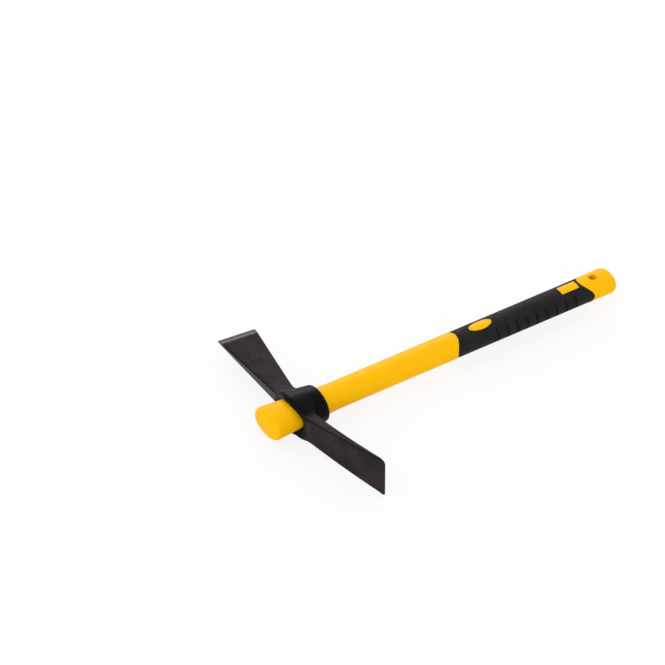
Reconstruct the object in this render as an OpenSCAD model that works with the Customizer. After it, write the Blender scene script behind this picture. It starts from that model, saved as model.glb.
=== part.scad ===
// A compact cutter mattock. A forged head with an axe blade and an adze blade drops over a moulded
// plastic handle, down to its flared end. The handle has a fibreglass rod inside and a rubber grip.
// Lengths are in millimetres. The tool lies on its side: +X runs along the handle to its butt,
// +Y points to the axe blade, -Y to the adze blade, and +Z is up.

/* [Handle] */
// Length of the handle from its flared end to its butt
handle_len = 411; // [340:1:460]
// Width of the shaft, in the plane of the swing
shaft_w = 30.6; // [28:0.2:35]
// Thickness of the shaft
shaft_t = 24.2; // [22:0.2:28]
// How much wider than the shaft the flared end is
flare_extra_w = 13.4; // [8:0.2:16]
// How much thicker than the shaft the flared end is
flare_extra_t = 6.2; // [2:0.2:7]
// Length over which the flare runs out into the shaft
flare_len = 80; // [60:1:100]
// How far the flared end stands out in front of the eye
end_reach = 30; // [12:0.5:40]
// Rounding of the rim of the flared end
end_round = 6; // [2:0.5:8]
// Rounding of the rim of the butt
butt_round = 8; // [3:0.5:9]
// How far the middle of each end bulges
end_dome = 1.2; // [0.5:0.1:3]

/* [Hang hole] */
// Diameter of the hang hole
hang_d = 8.5; // [6:0.1:11]
// Distance from the butt to the middle of the hang hole
hang_inset = 22; // [18:0.5:28]
// Chamfer at each mouth of the hang hole
hang_chamfer = 1; // [0.6:0.1:1.6]

/* [Fibreglass core] */
// Diameter of the fibreglass rod
core_d = 13; // [10:0.5:15]
// Plastic in front of the rod, at the flared end
core_cover = 8; // [4:0.5:20]
// Plastic between the rod and the hang hole
core_hang_gap = 10; // [5:0.5:20]
// Chamfer at the ends of the rod
core_chamfer = 0.8; // [0.3:0.1:1.5]

/* [Rubber grip] */
// Length of the grip along its sides
grip_len = 164; // [130:1:190]
// Thickness of the rubber
grip_t = 2.6; // [2:0.1:3.4]
// How far the rubber lies below the surface of the shaft
grip_step = 0.3; // [0:0.05:0.6]
// How much further the grip reaches along its sides than on its faces, at the head end
grip_tongue_front = 8.4; // [3:0.2:10]
// How much further the grip reaches along its sides than on its faces, at the butt end
grip_tongue_rear = 8; // [3:0.2:10]
// Plastic between the hang hole and the grip
grip_hang_gap = 10.5; // [6:0.5:16]
// Length of the oval window
oval_window_l = 26; // [18:0.5:34]
// Width of the oval window
oval_window_w = 12; // [8:0.5:16]
// Distance from the grip's head end, on its face, to the middle of the oval window
oval_window_at = 27; // [22:0.5:40]
// Length of the square-cut window
square_window_l = 20.5; // [12:0.5:26]
// Width of the square-cut window
square_window_w = 11; // [6:0.5:14]
// Distance from the grip's butt end, on its face, to the middle of the square-cut window
square_window_at = 15; // [14:0.5:26]
// Corner radius of the square-cut window
square_window_r = 1; // [0.5:0.1:2]
// Distance from the grip's head end, on its side, to the first finger groove
groove_start = 48; // [36:0.5:60]
// Distance from one finger groove to the next
groove_pitch = 11.7; // [9:0.1:14]
// Width of a finger groove at its middle
groove_w = 4; // [2:0.1:5]
// Height of a finger groove around the side
groove_h = 19.5; // [12:0.5:20]
// Depth of a finger groove
groove_d = 1.2; // [0.6:0.1:1.6]

/* [Eye of the head] */
// Length of the eye along the handle
eye_len = 33; // [30:0.5:40]
// Wall of the eye
eye_wall = 4.6; // [3.5:0.1:6]
// How much thicker the wall is at the front of the eye, where the blades spring from it
eye_front_extra = 2.4; // [0:0.1:3]
// How far the front of the eye is set back beside the handle, where the blades spring from it
eye_side_back = 1.4; // [0:0.1:2]
// How much further forward the eye reaches above and below the handle than beside it
eye_cheek = 4.6; // [0:0.2:6]
// Rounding of the front rim of the eye
eye_front_round = 4; // [1:0.1:4.5]
// Rounding of the rear rim of the eye
eye_rear_round = 1.8; // [0.8:0.1:2.2]
// Chamfer at each mouth of the eye
eye_mouth = 1.4; // [0.6:0.1:1.6]
// Radius of the fillets between the eye and the faces of the blades
root_fillet = 12; // [8:0.5:16]
// Radius of the long fillets between the eye and the sides of the adze
side_fillet = 70; // [50:1:90]
// Rounding of the long edges of the blades
blade_round = 2; // [1:0.1:3]

/* [Axe blade] */
// Distance from the handle's axis to the front corner of the axe edge
axe_reach = 133; // [100:1:160]
// How far the front of the axe blade lies behind the front rim of the eye
axe_set_back = 1.6; // [0.2:0.1:3]
// Length of the axe edge
axe_edge_l = 41.5; // [30:0.5:56]
// Width of the axe blade at its root
axe_root_w = 20.5; // [16:0.5:23]
// Thickness of the axe blade at its root
axe_root_t = 12; // [9:0.2:15]
// Thickness of the axe blade where the ground bevel starts
axe_bevel_t = 3.4; // [2.4:0.1:5]
// Width of the ground bevel
axe_bevel = 6.5; // [4:0.5:12]
// How far the axe edge leans, in degrees
axe_rake = 6; // [0:0.5:12]
// Rounding of the heel of the axe edge
axe_heel_round = 2.5; // [1:0.1:3.5]

/* [Adze blade] */
// Distance from the handle's axis to the adze edge
adze_reach = 131; // [100:1:160]
// How far the front of the adze's root lies behind the front rim of the eye
adze_set_back = 0.4; // [0.2:0.1:3]
// Width of the adze blade at its edge, before its corners are rounded
adze_edge_l = 43.2; // [32:0.5:56]
// Width of the adze blade at its root
adze_root_w = 28; // [22:0.5:34]
// Thickness of the adze blade at its root
adze_root_t = 12; // [8:0.2:14]
// Thickness of the adze blade where the ground bevel starts
adze_bevel_t = 2.8; // [2:0.1:4]
// Width of the ground bevel, on the butt side
adze_bevel = 8; // [6:0.5:14]
// How far the adze edge lies behind the blade's root, toward the butt
adze_droop = 22.5; // [8:0.5:32]
// How far the middle of the adze blade lies in front of a straight line from root to edge
adze_bow = 1.2; // [0:0.1:4]
// Rounding of the corners of the adze edge
adze_corner = 3.5; // [2:0.5:5.5]

/* [Fits] */
// Play between the eye and the handle, on each side
eye_fit = 0.3; // [0.2:0.05:0.5]
// Gap between the mouldings and what they are moulded around
bond_gap = 0.1; // [0.05:0.01:0.2]
// Gap around the islands in the grip's windows
window_gap = 0.25; // [0.15:0.05:0.5]

/* [Hidden] */
$fn = 64;

// Sides of each oval section
oval_sides = 56;
// Thickness of what is left at a cutting edge
edge_t = 0.8;
// Flat of the eye's rims that is left between their rounding and the chamfer of the mouth
rim_land = 1;
// Largest share of a blade's thickness that its rounding takes on each side
round_share = 0.4;
// Shares of a root fillet: how far out of the eye it ends, how deep in the eye it starts, and where it stops
fillet_out = 1 / 3;
fillet_deep = 0.8;
fillet_most = 0.95;
// Steps around a rounded corner of a blade and the rim of an end, and angles around the corner of an edge
corner_steps = 5;
rim_steps = 6;
corner_turns = [0 : 22.5 : 90];
// Steps along the flare, the socket, the root fillets and the blades
flare_steps = 6;
socket_steps = 6;
root_steps = 5;
eye_steps = 3;
axe_steps = 4;
adze_steps = 8;
// How far a cutter runs past what it cuts, and how deep in the socket the eye's front face starts
past = 1;
front_face_in = 3;
// How gently the flare starts from the shaft: 1 is a straight taper
flare_power = 1.15;
// Share of an end's thickness that its bulge leaves flat
dome_flat = 0.25;

// Stations along the handle, from the middle of the eye
x_eye_front = -eye_len / 2;
x_eye_rear = eye_len / 2;
x_end = x_eye_front - end_reach;
x_butt = x_end + handle_len;
x_flare_out = x_end + flare_len;
x_hang = x_butt - hang_inset;
x_core_front = x_end + core_cover;
x_core_rear = x_hang - hang_d / 2 - core_hang_gap;
x_grip_rear_face = x_hang - hang_d / 2 - grip_hang_gap;
x_grip_rear = x_grip_rear_face + grip_tongue_rear;
x_grip_front = x_grip_rear - grip_len;
x_grip_front_face = x_grip_front + grip_tongue_front;
x_oval_window = x_grip_front_face + oval_window_at;
x_square_window = x_grip_rear_face - square_window_at;
x_groove_first = x_grip_front + groove_start;

// Sections of the grip, its finger grooves and the neck under it
grip_outer = [shaft_w - 2 * grip_step, shaft_t - 2 * grip_step];
neck = [grip_outer[0] - 2 * grip_t, grip_outer[1] - 2 * grip_t];
groove_count = floor((x_grip_rear_face - groove_w - x_groove_first) / groove_pitch) + 1;

// The head's reach from its eye, and where its blades start
eye_skin = eye_fit + eye_wall;
root_y = handle_w(x_eye_front) / 2 + eye_skin + fillet_out * root_fillet;
root_start = root_y - fillet_deep * root_fillet;
adze_start = root_y - fillet_out * side_fillet;
axe_front_x = x_eye_front + axe_set_back;
adze_front_x = x_eye_front + adze_set_back;

// The tool stands on the adze's lowest corner, with the middle of its box over the origin
adze_widest = adze_w(adze_reach - adze_corner);
frame_shift = [-(x_end + x_butt) / 2, -(axe_reach - adze_reach) / 2, adze_widest / 2];

// Width and thickness of the handle at x: the flare runs out smoothly into the shaft
function flare(x) = pow(max(0, min(1, (x_flare_out - x) / flare_len)), flare_power);
function handle_w(x) = shaft_w + flare_extra_w * flare(x);
function handle_t(x) = shaft_t + flare_extra_t * flare(x);

// An oval of width w and thickness t, and one set across the handle at x
function oval(w, t) = [for (i = [0 : oval_sides - 1])
    let (a = 360 * i / oval_sides) [w / 2 * cos(a), t / 2 * sin(a)]];
function oval_at(x, w, t) = [for (p = oval(w, t)) [x, p[0], p[1]]];
function handle_ring(x, inset) = oval_at(x, handle_w(x) - 2 * inset, handle_t(x) - 2 * inset);

// Rings of a rounded end, whose bulge runs smoothly into its rim: way is 1 at the flared end, -1 at the butt
function end_rings(x, r, way) = let (
    run = (1 - dome_flat) * (shaft_t / 2 - r),
    a0 = atan(2 * end_dome / run)) concat(
    [for (s = [0, 0.5]) handle_ring(x + way * end_dome * s * s, r * (1 - sin(a0)) + (1 - s) * run)],
    [for (k = [0 : rim_steps]) let (a = a0 + k / rim_steps * (90 - a0)) handle_ring(
        x + way * (end_dome + r * (cos(a0) - cos(a))), r * (1 - sin(a)))]);
function reversed(list) = [for (i = [len(list) - 1 : -1 : 0]) list[i]];

// A solid through a row of rings, each counter-clockwise as seen from ahead of it
module loft(rings) {
    n = len(rings[0]);
    last = len(rings) - 1;
    sides = [for (k = [0 : last - 1], i = [0 : n - 1])
        let (j = (i + 1) % n, a = k * n, b = a + n)
        each [[a + i, b + i, b + j], [a + i, b + j, a + j]]];
    front = [for (i = [0 : n - 1]) i];
    rear = [for (i = [n - 1 : -1 : 0]) last * n + i];
    polyhedron([for (r = rings) each r], concat([front], sides, [rear]));
}

// An oval bar along +X
module oval_bar(from, to, size)
    translate([from, 0, 0]) rotate([90, 0, 90])
        linear_extrude(to - from) polygon(oval(size[0], size[1]));

// The outer form of the whole handle
module handle_form()
    loft(concat(
        end_rings(x_end, end_round, 1),
        [for (k = [1 : flare_steps])
            handle_ring(x_end + end_round + k / flare_steps * (flare_len - end_round), 0)],
        reversed(end_rings(x_butt, butt_round, -1))));

// The stretch of the handle that the grip covers. Its ends are round when seen from the side.
function bow_radius(sag) = (pow(shaft_t / 2, 2) + pow(sag, 2)) / (2 * sag);
module grip_stretch(gap) {
    front_r = bow_radius(grip_tongue_front);
    rear_r = bow_radius(grip_tongue_rear);
    front_x = x_grip_front + gap + front_r;
    rear_x = x_grip_rear - gap - rear_r;
    rotate([90, 0, 0]) linear_extrude(2 * shaft_w, center = true) {
        translate([front_x, 0]) circle(front_r);
        translate([rear_x, 0]) circle(rear_r);
        translate([front_x, -min(front_r, rear_r)]) square([rear_x - front_x, 2 * min(front_r, rear_r)]);
    }
}

// Outlines of the two windows, as bars through both faces of the handle
module square_outline(l, w, r) {
    square([l - 2 * r, w], center = true);
    square([l, w - 2 * r], center = true);
    for (x = [-1, 1], y = [-1, 1]) translate([x * (l / 2 - r), y * (w / 2 - r)]) circle(r);
}
module window_bars(gap)
    translate([0, 0, -shaft_t]) linear_extrude(2 * shaft_t) {
        translate([x_oval_window, 0])
            polygon(oval(oval_window_l + 2 * gap, oval_window_w + 2 * gap));
        translate([x_square_window, 0])
            square_outline(square_window_l + 2 * gap, square_window_w + 2 * gap, square_window_r + gap);
    }

// Lens-shaped finger grooves on both sides of the grip, cut to an even depth
module finger_grooves() {
    lens_r = (pow(groove_h, 2) / 4 + pow(groove_w, 2) / 4) / groove_w;
    difference() {
        for (i = [0 : groove_count - 1])
            translate([x_groove_first + i * groove_pitch, 0, 0])
                rotate([90, 0, 0]) linear_extrude(2 * shaft_w, center = true)
                    intersection_for (way = [-1, 1])
                        translate([way * (lens_r - groove_w / 2), 0]) circle(lens_r);
        oval_bar(x_grip_front, x_grip_rear,
            [grip_outer[0] - 2 * groove_d, grip_outer[1] - 2 * groove_d]);
    }
}

module handle_jacket() {
    hang_wall = shaft_t / 2 - hang_chamfer;
    color("gold") translate(frame_shift) difference() {
        handle_form();
        difference() {
            grip_stretch(0);
            oval_bar(x_grip_front - past, x_grip_rear + past, neck);
            window_bars(0);
        }
        translate([x_core_front - bond_gap, 0, 0]) rotate([0, 90, 0])
            cylinder(d = core_d + 2 * bond_gap, h = x_core_rear - x_core_front + 2 * bond_gap);
        translate([x_hang, 0, 0]) {
            cylinder(d = hang_d, h = 2 * shaft_t, center = true);
            for (way = [0, 180]) rotate([way, 0, 0]) translate([0, 0, hang_wall])
                cylinder(d1 = hang_d, d2 = hang_d + 4 * hang_chamfer, h = 2 * hang_chamfer);
        }
    }
}

module fibreglass_core()
    color("gainsboro") translate(frame_shift) translate([x_core_front, 0, 0]) rotate([0, 90, 0])
        rotate_extrude() polygon([
            [0, 0],
            [core_d / 2 - core_chamfer, 0],
            [core_d / 2, core_chamfer],
            [core_d / 2, x_core_rear - x_core_front - core_chamfer],
            [core_d / 2 - core_chamfer, x_core_rear - x_core_front],
            [0, x_core_rear - x_core_front]]);

module rubber_grip()
    color([0.15, 0.14, 0.14]) translate(frame_shift) difference() {
        intersection() {
            oval_bar(x_grip_front, x_grip_rear, grip_outer);
            grip_stretch(bond_gap);
        }
        oval_bar(x_grip_front - past, x_grip_rear + past, [neck[0] + 2 * bond_gap, neck[1] + 2 * bond_gap]);
        window_bars(window_gap);
        finger_grooves();
    }

// Section of a blade, w by h, with its corners rounded as far as the thickness w allows
function section(w, h) = let (r = min(blade_round, round_share * w)) [
    for (q = [0 : 3], k = [0 : corner_steps])
        let (a = 90 * (q + k / corner_steps), across = q % 3 == 0 ? 1 : -1, up = q < 2 ? 1 : -1)
            [across * (w / 2 - r) + r * cos(a), up * (h / 2 - r) + r * sin(a)]];

// How far a fillet of radius r stands out from a blade at distance y from the handle's axis
function fillet(y, r) = let (d = max(0, min(root_y - y, fillet_most * r))) r - sqrt(r * r - d * d);

// Distances of a blade's sections from the handle's axis: through its root fillets, then out to its bevel
function blade_ys(bevel_y, count) = concat(
    [for (k = [0 : root_steps]) root_start + k / root_steps * (root_y - root_start)],
    [for (k = [1 : count]) root_y + k / count * (bevel_y - root_y)]);

// The axe blade: its front is square to the handle, its back spreads to the heel of the edge
axe_spread = axe_edge_l - axe_root_w;
function axe_along(y) = max(0, (y - root_y) / (axe_reach - root_y));
function axe_w(y) = axe_root_w + axe_spread * axe_along(y) + fillet(y, root_fillet);
function axe_t(y) = axe_root_t + (axe_bevel_t - axe_root_t) * axe_along(y)
    + 2 * fillet(y, root_fillet);
function axe_ring(y, t, heel_cut) = let (w = axe_w(y) - heel_cut, lean = tan(axe_rake * axe_along(y)))
    [for (p = section(t, w)) let (back = w / 2 + p[1]) [axe_front_x + back, y - back * lean, p[0]]];
module axe_blade() {
    bevel_y = axe_reach - axe_bevel;
    loft(concat(
        [for (y = blade_ys(bevel_y, axe_steps)) axe_ring(y, axe_t(y), 0)],
        [for (a = corner_turns) let (
            y = axe_reach - axe_heel_round * (1 - sin(a)),
            t = edge_t + (axe_t(bevel_y) - edge_t) * (axe_reach - y) / axe_bevel)
            axe_ring(y, t, axe_heel_round * (1 - cos(a)))]));
}

// The adze blade: a wide curved plate, set across the swing, that bends toward the butt
function adze_along(y) = max(0, (y - root_y) / (adze_reach - root_y));
function adze_front(y) = let (s = adze_along(y))
    adze_front_x + adze_droop * s - adze_bow * 4 * s * (1 - s);
function adze_w(y) = adze_root_w + (adze_edge_l - adze_root_w) * adze_along(y)
    + 2 * fillet(y, side_fillet);
function adze_t(y) = adze_root_t + (adze_bevel_t - adze_root_t) * adze_along(y)
    + fillet(y, root_fillet);
function adze_ring(y, t, corner_cut) =
    [for (p = section(t, adze_w(y) - 2 * corner_cut)) [adze_front(y) + t / 2 + p[0], -y, p[1]]];
module adze_blade() {
    bevel_y = adze_reach - adze_bevel;
    eye_ys = [for (k = [0 : eye_steps - 1]) adze_start + k / eye_steps * (root_start - adze_start)];
    loft(concat(
        [for (y = concat(eye_ys, blade_ys(bevel_y, adze_steps))) adze_ring(y, adze_t(y), 0)],
        [for (a = corner_turns) let (
            y = adze_reach - adze_corner * (1 - sin(a)),
            t = edge_t + (adze_t(bevel_y) - edge_t) * (adze_reach - y) / adze_bevel)
            adze_ring(y, t, adze_corner * (1 - cos(a)))]));
}

// The eye: a ring around the flare of the handle, with its rims rounded as far as the wall allows
front_rim_r = min(eye_front_round, eye_wall + eye_front_extra - eye_mouth - rim_land);
rear_rim_r = min(eye_rear_round, eye_wall - eye_mouth - rim_land);
function eye_rim(way, a) = let (
    r = way < 0 ? front_rim_r : rear_rim_r,
    x = (way < 0 ? x_eye_front : x_eye_rear) - way * r * (1 - cos(a)),
    wall = eye_skin + eye_front_extra * (x_eye_rear - x) / eye_len - r * (1 - sin(a)))
    way < 0 ? cheek_ring(x, wall) : handle_ring(x, -wall);
module eye_ring()
    loft(concat(
        [cheek_ring(x_eye_front, -front_face_in)],
        [for (a = corner_turns) eye_rim(-1, a)],
        reversed([for (a = corner_turns) eye_rim(1, a)])));

// A ring around the handle that follows the scalloped front of the eye
function cheek_ring(x, grow) = [for (i = [0 : oval_sides - 1]) let (
    a = 360 * i / oval_sides,
    there = x + eye_side_back - eye_cheek * pow(sin(a), 2))
    [there, (handle_w(there) / 2 + grow) * cos(a), (handle_t(there) / 2 + grow) * sin(a)]];

// The socket in the eye, which the flare of the handle wedges into, with a chamfer at each mouth
module eye_socket() {
    mouth_fit = eye_fit + eye_mouth + past;
    seat_len = eye_len - 2 * eye_mouth;
    loft(concat(
        [handle_ring(x_eye_front - eye_cheek - 2 * past, -mouth_fit)],
        [cheek_ring(x_eye_front - past, mouth_fit), cheek_ring(x_eye_front + eye_mouth, eye_fit)],
        [for (k = [1 : socket_steps])
            handle_ring(x_eye_front + eye_mouth + k / socket_steps * seat_len, -eye_fit)],
        [handle_ring(x_eye_rear + past, -mouth_fit)]));
}

module mattock_head()
    color([0.23, 0.2, 0.21]) translate(frame_shift) difference() {
        union() {
            eye_ring();
            axe_blade();
            adze_blade();
        }
        eye_socket();
    }

mattock_head();
handle_jacket();
fibreglass_core();
rubber_grip();
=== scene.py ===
# %% [markdown]
# # A cutter mattock: a forged head on a moulded handle
# The object has four pieces. A steel forging carries an axe blade on one side of its eye and an adze
# blade, turned a quarter, on the other. The handle is a glass-fibre rod inside a yellow moulded jacket,
# with a black rubber grip. The head drops over the butt, slides along the shaft and jams on the flared
# end, so nothing else holds it.
#
# The frame brings the four CAD solids, each at its real size and place. They could be shaded as they are,
# but their curves are made of flat facets. So the three pieces that show are modelled again with smooth
# surfaces in the same place, and the hidden rod keeps its solid. The CAD box is kept for the last check.

# %% Load the frame
import math

import bmesh
import bpy
from mathutils import Matrix, Vector


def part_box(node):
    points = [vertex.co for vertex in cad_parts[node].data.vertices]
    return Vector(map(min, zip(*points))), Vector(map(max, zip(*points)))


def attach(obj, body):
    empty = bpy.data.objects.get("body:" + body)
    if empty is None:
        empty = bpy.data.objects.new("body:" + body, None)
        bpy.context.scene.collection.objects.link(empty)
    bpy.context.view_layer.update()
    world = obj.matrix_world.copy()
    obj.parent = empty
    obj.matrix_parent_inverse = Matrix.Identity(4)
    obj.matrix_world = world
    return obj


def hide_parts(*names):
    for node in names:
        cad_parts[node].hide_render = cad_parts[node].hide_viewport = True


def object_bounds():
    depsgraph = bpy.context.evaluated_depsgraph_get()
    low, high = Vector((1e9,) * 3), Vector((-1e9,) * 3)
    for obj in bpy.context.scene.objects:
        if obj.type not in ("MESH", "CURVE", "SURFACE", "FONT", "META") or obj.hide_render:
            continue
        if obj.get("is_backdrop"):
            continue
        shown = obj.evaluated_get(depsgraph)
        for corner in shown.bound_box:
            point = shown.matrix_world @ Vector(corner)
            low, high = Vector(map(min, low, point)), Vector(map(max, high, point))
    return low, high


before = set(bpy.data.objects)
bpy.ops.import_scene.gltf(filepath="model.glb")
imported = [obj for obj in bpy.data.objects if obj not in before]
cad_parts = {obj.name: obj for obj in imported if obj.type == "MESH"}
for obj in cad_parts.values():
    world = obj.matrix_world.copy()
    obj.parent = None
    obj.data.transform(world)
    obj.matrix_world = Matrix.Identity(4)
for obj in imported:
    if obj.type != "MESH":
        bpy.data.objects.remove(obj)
cad_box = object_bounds()
scene = bpy.context.scene
print("CAD pieces:", ", ".join(sorted(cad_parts)))

# %% [markdown]
# ## Measures of the handle
# The real handle is a stick of one oval all along, apart from the flared end that the head jams on. The
# oval tells the hand which way the blades point. Places on it could be written in the frame's own
# coordinates. Here they run from the middle of the eye, in metres, with the butt on the +X side and the
# axe on the +Y side, because a rule on the real tool would give the same numbers. `EYE` puts that point
# in the frame.

# %% The oval of the shaft and its flare
SHAFT_W, SHAFT_T = 0.0306, 0.0242
FLARE_W, FLARE_T = 0.0134, 0.0062  # growth of the oval at the flared end
FLARE_LEN, FLARE_POWER = 0.080, 1.15
X_END, X_BUTT = -0.0465, 0.3645
jacket_lo, jacket_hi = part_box("handle_jacket")
EYE = (jacket_lo + jacket_hi) / 2
EYE.x = jacket_lo.x - X_END


def flare(x):
    """1 at the flared end, falling to 0 where the plain shaft starts."""
    return max(0.0, min(1.0, (X_END + FLARE_LEN - x) / FLARE_LEN)) ** FLARE_POWER


def handle_size(x, grow=0.0):
    """Width and thickness of the handle's oval at x, grown all round by grow."""
    return SHAFT_W + FLARE_W * flare(x) + 2 * grow, SHAFT_T + FLARE_T * flare(x) + 2 * grow


def shaft_size(grow=0.0):
    """The same where the shaft is plain."""
    return SHAFT_W + 2 * grow, SHAFT_T + 2 * grow


print("middle of the eye at", [round(c, 4) for c in EYE])
print("oval at the flared end", [round(size, 4) for size in handle_size(X_END)])

# %% [markdown]
# ## Rings and skins
# Every piece of this tool is drawn out along a line: the handle along its length, the blades away from
# the eye. Such forms could be cylinders with loop cuts, or sweeps along a curve. Here the handle is a row
# of rings with a skin over them, because each ring can have exactly the width, thickness and place that
# the real piece has there. `oval_ring` adds one circle, squashed by its matrix and set across the handle,
# and `skin` bridges each ring to the next one.

# %% Helpers for rings
AROUND = 128
ACROSS = Matrix(((0, 0, 1, 0), (1, 0, 0, 0), (0, 1, 0, 0), (0, 0, 0, 1)))  # a circle's X to +Y, its Y to +Z


def at_eye(x=0.0, y=0.0, z=0.0):
    """A move to a point that is measured from the middle of the eye."""
    return Matrix.Translation(EYE + Vector((x, y, z)))


def oval_ring(bm, x, size, segments=AROUND):
    squash = Matrix.Diagonal((size[0] / 2, size[1] / 2, 1, 1))
    place = at_eye(x) @ ACROSS @ squash
    return bmesh.ops.create_circle(bm, segments=segments, radius=1, matrix=place)["verts"]


def ring_edges(ring):
    """The ring's own edges, in a fixed order."""
    inside = set(ring)
    return list(dict.fromkeys(e for v in ring for e in v.link_edges if e.other_vert(v) in inside))


def skin(bm, rings, closed=False):
    """Bridges each ring to the next one, and the last to the first if closed."""
    following = rings[1:] + (rings[:1] if closed else [])
    for a, b in zip(rings, following):
        bmesh.ops.bridge_loops(bm, edges=ring_edges(a) + ring_edges(b))


print("rings of", AROUND, "points")

# %% [markdown]
# ## Pieces and cuts
# A bmesh is only a workbench. `as_piece` turns it into a smooth-shaded object, riding on a body of the
# frame so that it moves when that body moves. Holes and windows could be left out while the surface is
# built. It is simpler to cut them as a workshop would: with a tool of the right shape, which is put away
# after the cut. The boolean is applied at once, because a finished piece should hold plain geometry.

# %% Helpers for pieces and cuts


def as_piece(bm, name, body=None):
    """Makes a mesh object. A cutting tool and the floor ride on no body."""
    bmesh.ops.recalc_face_normals(bm, faces=bm.faces)
    mesh = bpy.data.meshes.new(name)
    bm.to_mesh(mesh)
    bm.free()
    mesh.shade_smooth()
    piece = bpy.data.objects.new(name, mesh)
    scene.collection.objects.link(piece)
    if body:
        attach(piece, body)
    return piece


def use(piece, modifier):
    """Applies a modifier, so that the piece keeps plain geometry."""
    with bpy.context.temp_override(object=piece, active_object=piece):
        bpy.ops.object.modifier_apply(modifier=modifier.name)


def cut(piece, tool, how="DIFFERENCE"):
    step = piece.modifiers.new("cut", "BOOLEAN")
    step.operation = how
    step.object = tool
    step.solver = "EXACT"
    use(piece, step)
    bpy.data.objects.remove(tool)


# %% [markdown]
# ## The ends of the grip
# On the real handle the rubber is moulded round the jacket's neck, and its two ends bow. On the faces they
# stop short, so that a yellow tongue reaches into the black, and on the sides they run on. The line could
# be painted by a material alone, but the rubber lies a little lower than the plastic, so its edge is a
# real step. The jacket and the grip follow the same parabola: one function moves each point of a ring
# along the handle by its height.

# %% The bowed ends
X_GRIP_FRONT, X_GRIP_REAR = 0.17175, 0.33575
TONGUE_FRONT, TONGUE_REAR = 0.0064, 0.0105  # how far the yellow tongues reach into the grip
SOFT_CORNER = ((1, 0), (0.29, 0.29), (0, 1))  # three points of a quarter round, in radii from its two sides


def bow(z, depth):
    return depth * (2 * z / SHAFT_T) ** 2


def bowed_ring(bm, x, size, front, segments=AROUND):
    ring = oval_ring(bm, x, size, segments)
    for v in ring:
        z = v.co.z - EYE.z
        v.co.x += bow(z, TONGUE_FRONT) if front else -bow(z, TONGUE_REAR)
    return ring


print("grip is", round(X_GRIP_REAR - X_GRIP_FRONT, 4), "m long at its sides")

# %% [markdown]
# ## The yellow jacket
# On the real tool the jacket is injection moulded round the glass-fibre rod. It starts at the flared end
# with a soft dome and a round rim, narrows to the oval shaft, steps down to a neck under the rubber, and
# comes back up at the butt. It could be a subdivided cylinder with creases, but each step of the neck
# would need several support loops. Rings put a station where the form changes and nowhere else.
# `end_profile` gives the stations of a domed end, and how far each ring stays inside the full oval.

# %% The profile of a domed end
END_ROUND, BUTT_ROUND = 0.006, 0.008
DOME, DOME_SHARE = 0.0012, 0.75  # height of the dome, and how much of the way to the rim it takes
DOME_STEPS, ROUND_STEPS = 4, 8


def end_profile(x, round_r, way):
    """Stations and insets from the middle of an end to its full oval. way is 1 at the flared end."""
    run = DOME_SHARE * (SHAFT_T / 2 - round_r)
    slope = math.atan(2 * DOME / run)  # the angle at which the dome runs into the round rim
    rows = []
    for k in range(DOME_STEPS):
        s = k / DOME_STEPS
        rows.append((x + way * DOME * s * s, round_r * (1 - math.sin(slope)) + (1 - s) * run))
    for k in range(ROUND_STEPS + 1):
        a = slope + k / ROUND_STEPS * (math.pi / 2 - slope)
        deep = DOME + round_r * (math.cos(slope) - math.cos(a))
        rows.append((x + way * deep, round_r * (1 - math.sin(a))))
    return rows


print("stations of the flared end", len(end_profile(X_END, END_ROUND, 1)))

# %% The jacket's skin
GRIP_T, GRIP_STEP = 0.0026, 0.0003  # thickness of the rubber, and how far it lies below the plastic
LIP = 0.0004  # rounding of the plastic's edge along the rubber
FLARE_ROWS, BUTT_ROWS = 24, 9
neck_in = GRIP_STEP + GRIP_T

jacket = bmesh.new()
rings = [oval_ring(jacket, x, handle_size(x, -inset)) for x, inset in end_profile(X_END, END_ROUND, 1)]
bmesh.ops.contextual_create(jacket, geom=rings[0])
x_rim = X_END + DOME + END_ROUND
for k in range(1, FLARE_ROWS + 1):
    x = x_rim + k / FLARE_ROWS * (X_END + FLARE_LEN - x_rim)
    rings.append(oval_ring(jacket, x, handle_size(x)))
for along, inward in SOFT_CORNER:
    rings.append(bowed_ring(jacket, X_GRIP_FRONT - LIP * along, shaft_size(-LIP * inward), front=True))
rings.append(bowed_ring(jacket, X_GRIP_FRONT, shaft_size(-neck_in), front=True))
rings.append(bowed_ring(jacket, X_GRIP_REAR, shaft_size(-neck_in), front=False))
for along, inward in reversed(SOFT_CORNER):
    rings.append(bowed_ring(jacket, X_GRIP_REAR + LIP * along, shaft_size(-LIP * inward), front=False))
butt_len = X_BUTT - BUTT_ROUND - DOME - X_GRIP_REAR - LIP
for k in range(BUTT_ROWS):
    x = X_GRIP_REAR + LIP + (k + 0.5) / BUTT_ROWS * butt_len
    rings.append(oval_ring(jacket, x, shaft_size()))
tail = [oval_ring(jacket, x, shaft_size(-inset)) for x, inset in end_profile(X_BUTT, BUTT_ROUND, -1)]
bmesh.ops.contextual_create(jacket, geom=tail[0])
skin(jacket, rings + tail[::-1])
yellow_jacket = as_piece(jacket, "yellow_jacket", "handle")
print("jacket", len(yellow_jacket.data.polygons), "faces")

# %% [markdown]
# ## Islands in the grip
# Two islands of the jacket show through each face of the grip: an oval one near the head and a square one
# near the butt. On the real handle they are raised pads that the rubber flows round in its mould. They
# could be patches of yellow in the grip's material, but the pads stand higher than the rubber and catch
# the light on their rims. So they are prisms through the handle, from face to face. The same prisms, a
# little larger, cut the grip's windows later.

# %% Prisms for the islands and the windows
X_OVAL, OVAL_L, OVAL_W, OVAL_SIDES = 0.20715, 0.026, 0.012, 96
X_SQUARE, SQUARE_L, SQUARE_W = 0.31275, 0.0205, 0.011
SQUARE_R, SQUARE_STEPS = 0.001, 6  # rounding of the square's corners


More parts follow.
